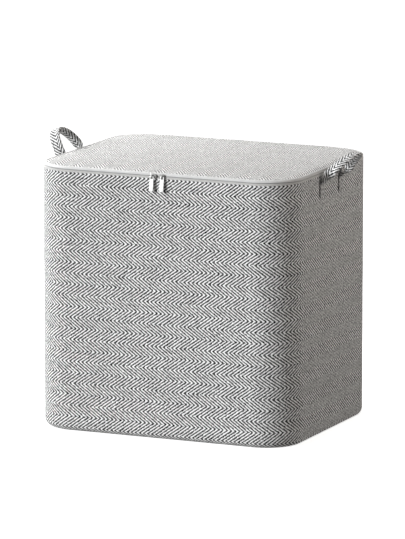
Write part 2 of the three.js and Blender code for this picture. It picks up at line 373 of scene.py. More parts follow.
TWILL = 6  # yarns in one repeat
WARP_PITCH = 8.0 * MM / TWILL
ROW = 20.0 * MM  # between two lines where the herringbone turns back
WEFTS_IN_ROW = 21
WEFT_PITCH = ROW / WEFTS_IN_ROW
FIRST_TURN = 8.8 * MM  # height of the cover's lowest line
STRAP_TURN = 10.9 * MM  # and where the straps' first line is, across them
YARN_ROUND, FLOAT_END = 2.2, 6.0  # powers: a yarn is round across, and flat along until it dives
WARP_SEED, WEFT_SEED = 3.0, 7.0


def herringbone(name, light, dark, first_turn=FIRST_TURN):
    """Two colours of yarn crossing in a 3/3 twill that turns back every row."""
    n = Nodes(name)
    cloth = n.cloth_uv()
    drift = n.noise(cloth, 45.0)
    across, up = n.split(cloth)
    sway = n.times(n.minus(drift, 0.5), 1.1)
    u = n.plus(n.over(across, WARP_PITCH), sway)
    v = n.over(n.minus(up, first_turn), WEFT_PITCH)
    warp, weft = n.math("FLOOR", u), n.math("FLOOR", v)
    in_u, in_v = n.math("FRACT", u), n.math("FRACT", v)
    turned = n.math("PINGPONG", n.plus(weft, 0.5), float(WEFTS_IN_ROW))
    phase = n.math("FLOORED_MODULO", n.plus(n.minus(warp, turned), 0.25), float(TWILL))
    # the dark line is three yarns of six wide on average, and its width wanders with the bloom
    bloom = n.noise(cloth, 240.0)
    is_warp = n.math("LESS_THAN", phase, n.span(bloom, 0.3, 0.7, 2.35, 4.65))

    warp_round = n.times(n.crown(in_u, YARN_ROUND), n.crown(in_v, FLOAT_END))
    weft_round = n.times(n.crown(in_v, YARN_ROUND), n.crown(in_u, FLOAT_END))
    height = n.plus(n.times(is_warp, warp_round), n.times(n.minus(1.0, is_warp), weft_round))
    fibres = n.noise(cloth, 1500.0, 3.0)
    yarn = n.plus(n.times(n.white(warp, WARP_SEED), 0.5), n.times(n.white(weft, WEFT_SEED), 0.5))
    fleck = n.white(warp, weft)
    patch = n.noise(cloth, 28.0, 3.0)

    shown = n.times(is_warp, n.span(n.plus(fleck, n.times(bloom, 0.6)), 1.1, 1.35, 1.0, 0.7))
    colour = n.mix(shown, light, dark)
    # painted shade: each yarn is darker towards its edges and ends, where it dips into the gaps between yarns; the
    # other tones, by yarn, patch, bloom and fibre, are random
    tone = n.times(n.span(height, 0.0, 0.5, 0.8, 1.0), n.span(yarn, 0.2, 0.8, 0.92, 1.04))
    tone = n.times(tone, n.span(patch, 0.3, 0.7, 0.94, 1.05))
    tone = n.times(tone, n.span(bloom, 0.35, 0.7, 1.03, 0.92))
    tone = n.times(tone, n.span(fibres, 0.3, 0.7, 0.93, 1.05))
    n.bump(n.plus(height, n.times(fibres, 0.35)), 0.55, 0.35 * MM)
    return n.finish(n.toned(colour, tone), n.span(fibres, 0.3, 0.7, 0.84, 0.98),
                    Sheen_Weight=0.12, Sheen_Roughness=0.5, Specular_IOR_Level=0.25)


def ribbed_tape(name, light, shade):
    """Close woven zip tape: fine ribs along its length and a small twill across them."""
    rib_pitch, slant_run, slant_rise = 0.62 * MM, 0.9 * MM, 1.24 * MM
    n = Nodes(name)
    cloth = n.cloth_uv()
    u, v = n.split(cloth)
    rib = n.crown(n.math("FRACT", n.over(v, rib_pitch)), 2.0)
    slant = n.crown(n.math("FRACT", n.plus(n.over(u, slant_run), n.over(v, slant_rise))))
    fibres = n.noise(cloth, 2200.0)
    patch = n.noise(cloth, 40.0)
    height = n.plus(n.times(rib, 0.6), n.times(slant, 0.4))
    # painted shade: the tape is darker in the grooves between its ribs and its twill, mixed with fibres at random
    tone_mask = n.plus(n.times(height, 0.5), n.times(fibres, 0.5))
    colour = n.toned(n.mix(n.span(tone_mask, 0.2, 0.7), shade, light), n.span(patch, 0.3, 0.7, 0.95, 1.04))
    n.bump(n.plus(height, n.times(fibres, 0.4)), 0.5, 0.18 * MM)
    return n.finish(colour, n.span(fibres, 0.3, 0.7, 0.72, 0.88), Sheen_Weight=0.1, Specular_IOR_Level=0.3)


def bonded_lining(name, light, shade):
    """Thin non-woven lining, pressed with a grid of small dots."""
    dot_pitch = 1.6 * MM
    n = Nodes(name)
    cloth = n.cloth_uv()
    u, v = n.split(cloth)
    row = n.over(v, dot_pitch)
    shift = n.times(n.math("FLOORED_MODULO", n.math("FLOOR", row), 2.0), 0.5)
    cu = n.minus(n.math("FRACT", n.plus(n.over(u, dot_pitch), shift)), 0.5)
    cv = n.minus(n.math("FRACT", row), 0.5)
    away = n.math("SQRT", n.plus(n.times(cu, cu), n.times(cv, cv)))
    dot = n.span(away, 0.18, 0.3)
    fibres = n.noise(cloth, 700.0, 5.0)
    strands = n.noise(cloth, 900.0, 2.0, (1.0, 0.25, 1.0))
    patch = n.noise(cloth, 22.0, 3.0)
    cloudy = n.plus(n.times(fibres, 0.6), n.times(strands, 0.4))
    tone = n.times(n.span(dot, 0.0, 1.0, 0.86, 1.0), n.span(patch, 0.3, 0.7, 0.94, 1.04))
    colour = n.toned(n.mix(n.span(cloudy, 0.3, 0.7), shade, light), tone)
    n.bump(n.plus(dot, n.times(cloudy, 0.8)), 0.5, 0.12 * MM)
    return n.finish(colour, n.span(cloudy, 0.3, 0.7, 0.78, 0.95), Specular_IOR_Level=0.25)


def grey_board(name):
    """Recycled board: pressed pulp with dark and light fibres."""
    n = Nodes(name)
    place = n.place()
    pulp = n.noise(place, 320.0, 6.0)
    flecks = n.noise(place, 1400.0, 2.0, (1.0, 1.0, 0.3))
    colour = n.mix(n.span(pulp, 0.35, 0.65), (0.40, 0.37, 0.32, 1), (0.55, 0.52, 0.46, 1))
    colour = n.mix(n.span(flecks, 0.62, 0.7, 0.0, 0.7), colour, (0.16, 0.14, 0.12, 1))
    n.bump(pulp, 0.4, 0.2 * MM)
    return n.finish(colour, n.span(pulp, 0.3, 0.7, 0.85, 0.97))


def twisted_thread(name, light, shade):
    """Sewing thread, with the twist of its plies across it."""
    twist_run, twist_rise = 0.55 * MM, 0.8 * MM
    n = Nodes(name)
    cloth = n.cloth_uv()
    u, v = n.split(cloth)
    ply = n.valley(n.math("FRACT", n.plus(n.over(u, twist_run), n.over(v, twist_rise))))
    fibres = n.noise(cloth, 3000.0)
    colour = n.mix(n.span(n.plus(ply, n.times(fibres, 0.5)), 0.2, 1.2), shade, light)
    n.bump(ply, 0.5, 0.08 * MM)
    return n.finish(colour, n.span(fibres, 0.3, 0.7, 0.45, 0.65), Sheen_Weight=0.1)


def nylon(name, light, shade):
    """Smooth nylon wire, a little cloudy."""
    n = Nodes(name)
    place = n.place()
    cloud = n.noise(place, 350.0, 3.0)
    colour = n.mix(n.span(cloud, 0.35, 0.65), shade, light)
    n.bump(n.noise(place, 2500.0), 0.15, 0.05 * MM)
    return n.finish(colour, n.span(cloud, 0.3, 0.7, 0.32, 0.5))


def satin_metal(name, bright, dull, shine):
    """Bright plated metal, rubbed along its length, duller where fingers hold it."""
    n = Nodes(name)
    place = n.place()
    rub = n.noise(place, 900.0, 2.0, (1.0, 1.0, 0.08))
    tone_mask = n.noise(place, 240.0, 4.0)
    colour = n.mix(n.span(tone_mask, 0.35, 0.7), bright, dull)
    n.bump(rub, 0.12, 0.03 * MM)
    return n.finish(colour, n.span(n.plus(rub, tone_mask), 0.7, 1.3, 0.32, 0.52), Metallic=shine)


LIGHT_YARN = (0.96, 0.96, 0.955, 1)
DARK_YARN = (0.012, 0.012, 0.013, 1)
cover = herringbone("herringbone_cover", LIGHT_YARN, DARK_YARN)
# painted shade: the straps' light yarn is a little darker than the cover's, toning down the key light on the
# straps
strap_cloth = herringbone("herringbone_strap", (0.84, 0.84, 0.835, 1), DARK_YARN, STRAP_TURN)
# painted light: the lid's copy of the cloth has a pale grey dark yarn, lighter than the cover's, for the light
# from above on the lid
lid_cloth_painted_light = herringbone("herringbone_lid", (0.94, 0.935, 0.925, 1), (0.18, 0.18, 0.18, 1))
tape = ribbed_tape("zip_tape_cloth", (0.66, 0.66, 0.655, 1), (0.47, 0.47, 0.465, 1))
# painted shade: the body's tape is a darker copy of the zip tape cloth, for the shade on the lower half of the
# zip's band
body_tape_painted_shade = ribbed_tape("body_tape_painted_shade", (0.55, 0.545, 0.535, 1), (0.39, 0.385, 0.375, 1))
binding = ribbed_tape("inner_binding_cloth", (0.66, 0.65, 0.635, 1), (0.46, 0.455, 0.44, 1))
lining = bonded_lining("lining_cloth", (0.66, 0.655, 0.64, 1), (0.5, 0.495, 0.48, 1))
board = grey_board("grey_board")
thread = twisted_thread("pale_thread", (0.78, 0.77, 0.75, 1), (0.5, 0.49, 0.475, 1))
dark_thread = twisted_thread("grey_thread", (0.42, 0.415, 0.41, 1), (0.22, 0.22, 0.215, 1))
coil_nylon = nylon("coil_nylon", (0.62, 0.61, 0.59, 1), (0.45, 0.44, 0.43, 1))
metal = satin_metal("satin_metal", (0.56, 0.56, 0.55, 1), (0.47, 0.47, 0.465, 1), 0.35)
# the sliders' metal is dark grey, painted darker than the pulls' metal as painted shade round the slider heads
slider_metal = satin_metal("slider_metal", (0.22, 0.22, 0.215, 1), (0.07, 0.07, 0.068, 1), 0.9)


def done(obj, body, slot, *nodes):
    """Attaches a finished piece to the body it rides on, and hides the CAD nodes that it stands for; slot is not
    used.
    """
    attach(obj, body)
    if nodes:
        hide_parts(*nodes)
    return obj


# ---- walls and base ----
def belly(z):
    """How the wall stands out between its sewn top and its turned-under foot, from 0 to 1."""
    share = min(1.0, max(0.0, (z - BOTTOM_ROUNDING) / (WALL_TOP - BOTTOM_ROUNDING)))
    return math.sin(math.pi * share) ** 1.5


BELLY = 1.1  # how far the middle of a flat wall stands out
SLACK = 0.22  # unevenness of the cover over its boards
PUCKER, PUCKER_REACH = 0.14, 9.0  # gathering under the zip's seam, and how far down it fades
HELD_AT_TOP = 3.0  # the cover is flat against the boards again this near its top
SEAM_PAD, SEAM_REACH = 0.7, 7.0  # the back seam's folded edges, and how far they reach to each side


def wall_lift(s, z):
    """Outward relief of the cover over its boards: a slight belly, puckers under the zip, and the back seam."""
    a = abs(s)
    flat = 0.0
    if a < BREAKS[1]:
        flat = math.cos(math.pi * (a / BREAKS[1]) / 2)
    elif BREAKS[2] < a < BREAKS[3]:
        flat = math.sin(math.pi * (a - BREAKS[2]) / (BREAKS[3] - BREAKS[2]))
    elif a > BREAKS[4]:
        flat = math.sin(math.pi * (a - BREAKS[4]) / (2 * FLAT_X))
    below = WALL_TOP - z
    free = min(1.0, below / HELD_AT_TOP)
    rise = BELLY * belly(z) * flat
    rise += SLACK * belly(z) * (1 + noise.noise(Vector((s / 60, z / 45, 3))))
    rise += PUCKER * math.exp(-below / PUCKER_REACH) * (1 + noise.noise(Vector((s / 5.5, z / 30, 8))))
    rise *= free
    seam = HALF_ROUND - a
    if seam < SEAM_REACH and z > 3:
        rise += SEAM_PAD * (1 - (seam / SEAM_REACH) ** 4) * free
    return max(0.0, rise)


def foot_curve(inset, steps, lowest=math.pi / 2):
    """(inset, z, height on the cloth's map) down round the bottom edge, below a wall that stands at inset."""
    radius = BOTTOM_ROUNDING - inset
    curve = []
    for k in range(steps + 1):
        a = lowest * k / steps
        curve.append((inset + radius * (1 - math.cos(a)), BOTTOM_ROUNDING - radius * math.sin(a),
                      BOTTOM_ROUNDING - radius * a))
    return curve


def wall_cover():
    """The cover round the walls, with its foot turned under the base, and its inner face a fabric's width in."""
    heights = [WALL_TOP - drop for drop in (0, 0.8, 2, 4, 7, 12)] + [WALL_TOP - 20 - 22.5 * k for k in range(20)]
    foot, inner_foot = foot_curve(0.0, 8), foot_curve(FABRIC, 8)
    outer = [(0.25 if k == 0 else 0.0, z, z) for k, z in enumerate(heights)] + foot
    outer.append((TURN_UNDER, 0.0, foot[-1][2] - (TURN_UNDER - BOTTOM_ROUNDING)))
    inner = [(FABRIC, z, z) for z in heights]
    inner += [(inset, z, v) for (inset, z, _), (_, _, v) in zip(inner_foot, foot)]
    inner.append((TURN_UNDER, FABRIC, outer[-1][2]))
    return sweep("wall_cover", stations(6.0, arc_step=4.5), outer + inner[::-1], cover, lift=wall_lift)


wall = done(wall_cover(), "bin_body", "herringbone", "wall_fabric")


def rings(count, ease=1.6):
    """Shares of the way out for a panel, closer together towards its edge."""
    return [(k / count) ** (1 / ease) for k in range(1, count + 1)]


base = done(panel("base_cover", stations(24.0, arc_step=8.0), lambda s: TURN_UNDER + 0.3,
                  lambda x, y: FABRIC, FABRIC, rings(6), cover),
            "bin_body", "herringbone", "base_fabric")

LINING = 0.4  # thickness of a lining panel
LINING_LOOSE = 1.6  # how far the wall's lining can stand in from the boards
PATCH_REACH = 52.0  # the handles' inner patches end above this, down from the wall's top


def lining_slack(s, z):
    """The lining hangs a little loose from the boards, between the handles' patches and its foot."""
    held = smooth((WALL_TOP - PATCH_REACH - z) / 60) * smooth((z - BOTTOM_ROUNDING) / 50)
    x, y, _, _ = plan_at(s)
    return -LINING_LOOSE * held * (0.5 + 0.5 * noise.noise(Vector((x / 55, y / 55, z / 110))))


def wall_inside():
    """The wall's lining, from under the binding down round the foot."""
    bottom = 7.0
    heights = [WALL_TOP - 0.05, 460, *range(440, 20, -20), BOTTOM_ROUNDING]
    faces = []
    for inset in (LINING_INSET, INTERIOR):
        lowest = math.asin(min(1.0, (BOTTOM_ROUNDING - bottom) / (BOTTOM_ROUNDING - inset)))
        faces.append([(inset, z, z) for z in heights] + foot_curve(inset, 6, lowest)[1:])
    return sweep("wall_inside", stations(14.0), faces[0] + faces[1][::-1], lining, lift=lining_slack)


wall_in = done(wall_inside(), "bin_body", "lining", "wall_lining")
_, (BASE_LINING_X, _, BASE_LINING_TOP) = mm_box("base_lining")


def base_lining_height(x, y):
    return BASE_LINING_TOP - 0.3 + 0.25 * noise.noise(Vector((x / 70, y / 70, 1)))


base_in = done(panel("base_inside", stations(24.0, arc_step=8.0), lambda s: HALF_X - BASE_LINING_X,
                     base_lining_height, LINING, rings(10), lining),
               "bin_body", "lining", "base_lining")


# ---- zip tape, inner binding and coil teeth ----
def tape_profile():
    """The body's tape: up the outside, over its fold, and a short way down inside."""
    low, top = TAPE_BOTTOM, TAPE_TOP
    return [(0.0, low, 0), (0.0, low + 1.4, 1.4), (0.0, top - 1.2, 2.4), (0.05, top - 0.5, 3.1), (0.3, top, 3.6),
            (0.9, top + 0.15, 4.1), (1.6, top, 4.9), (2.5, top - 0.05, 6.0), (2.5, top - 0.6, 6.0),
            (1.6, top - 0.6, 4.9), (1.15, top - 0.85, 4.0), (0.75, top - 1.6, 2.4), (0.62, low + 1.4, 1.4),
            (0.62, low, 0)]


done(sweep("body_tape", stations(12.0, OPEN_HALF), tape_profile(), body_tape_painted_shade, closed=False),
     "bin_body", "zip_tape", "body_zip_tape")


def binding_profile():
    """Cloth over the boards' top edge, turned down inside the lining."""
    top, low = WALL_TOP + 0.75, WALL_TOP - 11.0
    under = top - 0.35
    front, back = INTERIOR + 0.28, INTERIOR + 0.04
    return [(1.25, top - 0.5, 0), (1.25, top, 0.5), (3.0, top + 0.1, 2.2), (INTERIOR - 0.2, top, 4.0),
            (INTERIOR + 0.25, top - 0.3, 4.6), (front, WALL_TOP - 4, 9), (front, low, 16), (back, low, 16),
            (back, WALL_TOP - 4, 9), (back, under - 0.2, 4.8), (INTERIOR - 0.3, under, 4.0), (3.0, under, 2.2)]


done(sweep("rim_binding", stations(12.0), binding_profile(), binding), "bin_body", "zip_tape")

COIL_PITCH = 1.9
COIL_WIDTH = 1.95
COIL_WIRE = 0.27  # radius
COIL_INSET = 3.7


def coil(name, body, node, hand):
    """A spiral of nylon wire laid along the tape's edge, as tall as the CAD's. hand is its way round."""
    (_, _, low), (_, _, high) = mm_box(node)
    z, tall = (low + high) / 2, high - low
    per_turn, sides = 8, 5
    run = 2 * (HALF_ROUND - OPEN_HALF) - 1.0
    count = round(run / COIL_PITCH) * per_turn
    centres = []
    for k in range(count + 1):
        s = -run / 2 + run * k / count
        a = 2 * math.pi * k / per_turn * hand
        inset_k = COIL_INSET + (COIL_WIDTH / 2 - COIL_WIRE) * math.cos(a)
        centres.append((s, Vector(wall_point(s, inset_k, z + (tall / 2 - COIL_WIRE) * math.sin(a)))))
    points = []
    for k, (s, p) in enumerate(centres):
        t = (centres[min(k + 1, count)][1] - centres[max(k - 1, 0)][1]).normalized()
        _, _, nx, ny = plan_at(s)
        side = t.cross(Vector((nx, ny, 0.02))).normalized()
        up = side.cross(t)
        for m in range(sides):
            a = 2 * math.pi * m / sides
            points.append(tuple(p + (side * math.cos(a) + up * math.sin(a)) * COIL_WIRE))
    faces, uvs = tube(count + 1, sides, lambda r, k: (r, k))
    done(make(name, points, faces, uvs, coil_nylon, 75), body, "zip_coil", node)


coil("body_teeth", "bin_body", "body_zip_coil", 1)
coil("lid_teeth", "lid", "lid_zip_coil", -1)

# ---- lid ----
LID_TAPE_REACH = 6.5  # how far in over the lid's top the edge tape lies


def lid_edge_profile():
    """The lid's edge tape: a quarter-round skirt, with its raw edge turned in under the top."""
    shape = [(0.8, LID_BOTTOM - 0.45, -0.6), (0.3, LID_BOTTOM - 0.3, -0.2), (0.08, LID_BOTTOM + 0.2, 0.2),
             (0.04, LID_BOTTOM + 1.1, 0.7)]
    r, thick, start, steps = LID_ROUNDING, 0.95, 0.4, 10
    centre_z = LID_TOP - r
    for k in range(steps + 1):
        a = math.radians(12) + math.radians(78) * k / steps
        shape.append((r * (1 - math.cos(a)), centre_z + r * math.sin(a), start + r * a))
    end = start + r * math.pi / 2
    shape += [(5.9, LID_TOP + 0.02, end + 0.9), (LID_TAPE_REACH - 0.15, LID_TOP - 0.12, end + 1.35),
              (LID_TAPE_REACH, LID_TOP - 0.45, end + 1.6), (LID_TAPE_REACH - 0.2, LID_TOP - 0.8, end + 1.3),
              (5.4, LID_TOP - thick, end + 0.5)]
    for k in reversed(range(steps + 1)):
        a = math.radians(20) + math.radians(70) * k / steps
        shape.append((r - (r - thick) * math.cos(a), centre_z + (r - thick) * math.sin(a), start + r * a))
    return shape + [(1.3, LID_BOTTOM + 0.6, 0.2)]


done(sweep("lid_edge", stations(12.0, OPEN_HALF), lid_edge_profile(), tape, closed=False),
     "lid", "zip_tape", "lid_edge_tape")


def lid_inset(s):
    """The lid's cloth ends under its edge tape, and reaches the hinge strip behind."""
    return 1.35 if HALF_ROUND - abs(s) < HINGE_HALF else 5.3


def lid_height(x, y):
    """The lid's cloth: low under its edge tape, a little proud over the board, with faint slack."""
    over_x, over_y = abs(x) - FLAT_X, abs(y) - FLAT_Y
    inward = CORNER - math.hypot(max(over_x, 0), max(over_y, 0)) - min(max(over_x, over_y), 0)
    edge = max(0.0, inward - LID_TAPE_REACH)
    rise = 2.5 * (1 - math.exp(-edge / 9.0)) + 0.6 * (1 - math.exp(-edge / 60.0))
    slack = 0.22 * noise.noise(Vector((x / 55, y / 75, 5))) * (1 - math.exp(-edge / 25.0))
    return LID_TOP - 0.55 + rise + slack


def lid_stations():
    """Stations round the lid, with a close pair where its inset changes at each end of the hinge."""
    end = HALF_ROUND - HINGE_HALF
    return sorted({*stations(9.0), *(side * (end + near) for side in (-1, 1) for near in (-0.05, 0.05))})


LID_RINGS = [0.03, 0.1, 0.2, 0.3, 0.4, 0.5, 0.58, 0.66, 0.73, 0.79, 0.84, 0.88, 0.91, 0.935, 0.955, 0.97, 0.98,
             0.987, 0.994, 1.0]
lid_cloth = done(panel("lid_cover", lid_stations(), lid_inset, lid_height, FABRIC * 0.7, LID_RINGS,
                       lid_cloth_painted_light, turned=True),
                 "lid", "herringbone", "lid_fabric")

LID_BOARD_INSET = 8.5
(_, _, LID_LINING_LOW), (_, _, LID_LINING_HIGH) = mm_box("lid_lining")


def lid_lining_height(x, y):
    return LID_LINING_HIGH - 0.05 - 0.2 * (1 + noise.noise(Vector((x / 80, y / 60, 2))))


lid_in = done(panel("lid_inside", stations(20.0, arc_step=6.0), lambda s: LID_BOARD_INSET + 0.4,
                    lid_lining_height, LINING, rings(12), lining),
              "lid", "lining", "lid_lining")


def lid_skirt_profile():
    """Lining carried up round the lid board's side and out under the edge tape."""
    low, high = LID_LINING_LOW + 0.05, LID_TOP - 1.75
    return [(12.0, low, 0), (8.8, low, 3), (8.1, low + 0.15, 4), (7.75, low + 0.7, 5), (7.7, high - 1.0, 11),
            (7.4, high - 0.3, 12), (6.7, high - 0.05, 13), (5.2, high, 14), (5.2, high + 0.35, 14),
            (6.9, high + 0.3, 13), (7.7, high + 0.05, 12), (8.15, high - 0.8, 11), (8.2, low + 1.0, 5),
            (8.6, low + 0.5, 4), (12.0, low + 0.45, 0)]


done(sweep("lid_inner_edge", stations(12.0), lid_skirt_profile(), binding), "lid", "zip_tape")

# ---- hinge at the back ----
def hinge_cloth():
    """The strip that is both the body's top edge and the lid's, built as it lies at rest."""
    (_, y_in, z0), (_, y_out, z1) = mm_box("back_hinge_strip")
    columns, steps = 58, 12
    rows = [z0 + (z1 - z0) * k / steps for k in range(steps + 1)]
    points, faces, uvs = [], [], []
    for layer, y in ((0, y_out), (1, y_in + 0.25)):
        for z in rows:
            bow = -0.15 * math.sin(math.pi * (z - z0) / (z1 - z0))
            for c in range(columns + 1):
                x = -HINGE_HALF + 2 * HINGE_HALF * c / columns
                soft = bow * (1 + noise.noise(Vector((x / 9, z / 6, 4))))
                points.append((x, y + (soft if layer == 0 else 0), z))
    wide = columns + 1
    layer_size = wide * len(rows)

    def corner(index):
        index %= layer_size
        return (-(index % wide) * 2 * HINGE_HALF / columns, rows[index // wide])

    def quad(a, b, c, d):
        faces.append((a, b, c, d))
        uvs.append(tuple(corner(q) for q in (a, b, c, d)))

    for r in range(len(rows) - 1):
        for c in range(columns):
            a = r * wide + c
            quad(a + 1, a, a + wide, a + wide + 1)
            b = a + layer_size
            quad(b, b + 1, b + wide + 1, b + wide)
    # the edges between the two layers, once round
    top = (len(rows) - 1) * wide
    rim = [*range(wide), *range(wide + columns, top, wide), *reversed(range(top, top + wide)),
           *range(top - wide, 0, -wide)]
    for a, b in zip(rim, rim[1:] + rim[:1]):
        quad(a, b, b + layer_size, a + layer_size)
    return make("hinge_cloth", points, faces, uvs, tape)


hinge = hinge_cloth()
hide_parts("back_hinge_strip")
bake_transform(hinge)

# ---- sewn seams ----
done(stitches("lid_edge_stitches", seam_round(5.55, LID_TOP - 0.02, 0, 1, 4.0, OPEN_HALF), thread),
     "lid", "zip_tape")
done(stitches("body_tape_stitches", seam_round(0.0, TAPE_BOTTOM + 0.85, 1, 0, 4.0, OPEN_HALF), thread,
              length=2.8, radius=0.2),
     "bin_body", "zip_tape")
done(stitches("binding_stitches", seam_round(INTERIOR + 0.28, WALL_TOP - 8.5, -1, 0, 4.4), thread),
     "bin_body", "lining")
done(stitches("base_stitches", seam_round(17.5, 0.26, 0, -1, 4.6), dark_thread, radius=0.16),
     "bin_body", "herringbone")
done(stitches("lid_lining_stitches", seam_round(10.6, LID_LINING_LOW + 0.05, 0, -1, 4.4), thread),
     "lid", "lining")


def back_seam(pitch=4.4, aside=4.4):
    """Seats up the seam at the middle of the back, a little to one side of it."""
    seats = []
    z = 24.0
    while z < WALL_TOP - 6:
        seats.append(((-aside, HALF_Y + wall_lift(HALF_ROUND - aside, z), z), (0, 0, 1), (0, 1, 0)))
        z += pitch
    return seats


done(stitches("back_seam_stitches", back_seam(), dark_thread, radius=0.25), "bin_body", "herringbone")

# ---- straps ----
STRAP_WIDTH = 20.0
STRAP_THICK = 4.5
FOOT_THICK = 3.0
HANDLE_Y = -8.0
HANDLE_HALF = 42.5  # from the handle's middle to each foot's
LOOP_START = 2.2  # height of the loop's ends over the fold line
LOOP_RISE = 61.0
LOOP_BOW = 12.0  # how far the loop's top stands out
TWIST_FROM, TWIST_RUN = 2.0, 25.0  # heights between which a leg twists
(_, _, FOOT_LOW), (FOOT_OUT, _, FOOT_TOP) = mm_box("handle_foot_right_front")
AXIS_X = FOOT_OUT + 1.2
AXIS_Z = FOOT_TOP + 1.5
FOOT_X = FOOT_OUT - FOOT_THICK / 2 - AXIS_X
FOOT_HALF_THICK = FOOT_THICK / 2 - 0.06


def strap_path(lean, twist):
    """Sections up one foot, over the fold, round the loop and down: (centre, along, face, half thickness).
    x is out from the wall, y along it and z up, from the handle's fold line."""
    turn = Matrix.Rotation(math.radians(lean), 3, "Y")
    loop = []
    steps, foot_steps, fold_steps = 72, 12, 6
    for k in range(steps + 1):
        a = math.pi * k / steps
        s, c = math.sin(a), math.cos(a)
        centre = Vector((LOOP_BOW * s * s, -HANDLE_HALF * c, LOOP_START + LOOP_RISE * s))
        along = Vector((2 * LOOP_BOW * s * c, HANDLE_HALF * s, LOOP_RISE * c)).normalized()
        radial = Vector((1, 0, 0)).cross(along).normalized()
        flat = along.cross(radial)
        turned = math.radians(twist) * smooth((LOOP_RISE * s - TWIST_FROM) / TWIST_RUN)
        face = flat * math.cos(turned) + radial * math.sin(turned)
        loop.append((turn @ centre, turn @ along, turn @ face, STRAP_THICK / 2))
    legs = []
    for end in (-1, 1):
        first = loop[0] if end < 0 else loop[-1]
        leg = []
        low, high = FOOT_LOW - AXIS_Z + 0.1, FOOT_TOP - AXIS_Z - 1.5
        for k in range(foot_steps + 1):
            centre = Vector((FOOT_X, end * HANDLE_HALF, low + (high - low) * k / foot_steps))
            leg.append((centre, Vector((0, 0, -end)), Vector((1, 0, 0)), FOOT_HALF_THICK))
        # a smooth curve from the foot's top to the loop's end
        p0, p1 = leg[-1][0], first[0]
        up, lead = Vector((0, 0, 1)), turn @ Vector((0, 0, 1))
        reach = (p1 - p0).length
        for k in range(1, fold_steps):
            t = k / fold_steps
            h00, h10 = 2 * t**3 - 3 * t * t + 1, t**3 - 2 * t * t + t
            h01, h11 = -2 * t**3 + 3 * t * t, t**3 - t * t
            centre = p0 * h00 + up * reach * h10 + p1 * h01 + lead * reach * h11
            way = up.lerp(lead, t).normalized()
            face = Vector((0, 1, 0)).cross(way).normalized()
            thick = FOOT_HALF_THICK + (STRAP_THICK - FOOT_THICK) / 2 * smooth(t)
            leg.append((centre, way * -end, face, thick))
        legs.append(leg)
    return legs[0] + loop + legs[1][::-1]


def strap_mesh(name, side, path):
    """A folded strap: soft rolled edges, the two faces a little hollow along their middle."""
    around, hollow = 20, 0.10
    section = []
    for k in range(around):
        ca, sa = math.cos(2 * math.pi * k / around), math.sin(2 * math.pi * k / around)
        section.append((math.copysign(abs(ca) ** 0.42, ca), math.copysign(abs(sa) ** 0.62, sa)))
    arc = [0.0]  # distances round the section, and along the strap, for the cloth's map
    for k in range(around):
        (w0, h0), (w1, h1) = section[k], section[(k + 1) % around]
        arc.append(arc[-1] + math.hypot((w1 - w0) * STRAP_WIDTH / 2, (h1 - h0) * STRAP_THICK / 2))
    gone = [0.0]
    for (before, *_), (centre, *_) in zip(path, path[1:]):
        gone.append(gone[-1] + (centre - before).length)
    points = []
    for centre, along, face, half in path:
        across = face.cross(along)
        for wide, high in section:
            sunk = 1 - hollow * (1 - wide * wide)
            p = centre + across * (wide * STRAP_WIDTH / 2) + face * (high * half * sunk)
            points.append((side * (AXIS_X + p.x), HANDLE_Y + side * p.y, AXIS_Z + p.z))
    faces, uvs = tube(len(path), around, lambda r, k: (gone[r], arc[k]))
    return make(name, points, faces, uvs, strap_cloth, 60)


def strap_seats(side, path, pitch=3.8):
    """Two rows along each face of the strap, near its edges."""
    aside, depth = 7.6, 0.93  # mm from the strap's middle, and share of its half thickness
    seats, gone, next_at = [], 0.0, 3.0
    for (c0, a0, f0, h0), (c1, a1, f1, h1) in zip(path, path[1:]):
        size = (c1 - c0).length
        while next_at <= gone + size:
            t = (next_at - gone) / size
            centre, along, face, half = c0.lerp(c1, t), a0.lerp(a1, t), f0.lerp(f1, t), h0 + (h1 - h0) * t
            across = face.cross(along).normalized()
            for row in (-aside, aside):
                for way in (-1, 1):
                    p = centre + across * row + face * (way * half * depth)
                    seats.append((
                        (side * (AXIS_X + p.x), HANDLE_Y + side * p.y, AXIS_Z + p.z),
                        (side * along.x, side * along.y, along.z),
                        (way * side * face.x, way * side * face.y, way * face.z)))
            next_at += pitch
        gone += size
    return seats


# pairs of a square's corners, counted round it from its lowest left one
CROSSED = ((0, 1), (3, 2), (0, 2), (3, 1))
ROUND_SQUARE = ((0, 1), (3, 2), (0, 3), (1, 2))


def seats_between(corners, pairs, out, count=None, pitch=3.6):
    """Seats along straight lines between pairs of corners."""
    seats = []
    for i, j in pairs:
        a, b = Vector(corners[i]), Vector(corners[j])
        many = count or max(3, round((b - a).length / pitch))
        seats += [(a.lerp(b, (k + 0.5) / many), b - a, out) for k in range(many)]
    return seats


BOX_HALF = 7.4  # half the length along the wall of the square sewn through a foot


def box_stitch(x, out, count=None):
    """The crossed squares that hold a strap's two feet, on the face at x that looks along out."""
    z0, z1 = FOOT_LOW + 3.0, FOOT_TOP - 4.0
    seats = []
    for end in (-1, 1):
        y0, y1 = HANDLE_Y + end * HANDLE_HALF - BOX_HALF, HANDLE_Y + end * HANDLE_HALF + BOX_HALF
        corners = [(x, y0, z0), (x, y1, z0), (x, y1, z1), (x, y0, z1)]
        seats += seats_between(corners, CROSSED, (out, 0, 0), count)
    return seats


# side, lean out from upright, and twist away from flat on the wall, in degrees
STRAPS = {"left": (-1, 22.0, -90.0), "right": (1, 30.0, 120.0)}
for label, (side, lean, twist) in STRAPS.items():
    path = strap_path(lean, twist)
    strap = strap_mesh(f"handle_strap_{label}", side, path)
    sewing = stitches(f"handle_stitches_{label}", strap_seats(side, path), thread, length=2.6, radius=0.22)
    boxes = stitches(f"handle_box_stitches_{label}", box_stitch(side * (FOOT_OUT - 0.12), side), thread,
                     length=2.6, radius=0.24)
    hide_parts(f"handle_loop_{label}", f"handle_foot_{label}_front", f"handle_foot_{label}_back")
    for piece in (strap, sewing):
        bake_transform(piece)
    done(boxes, "bin_body", "herringbone")


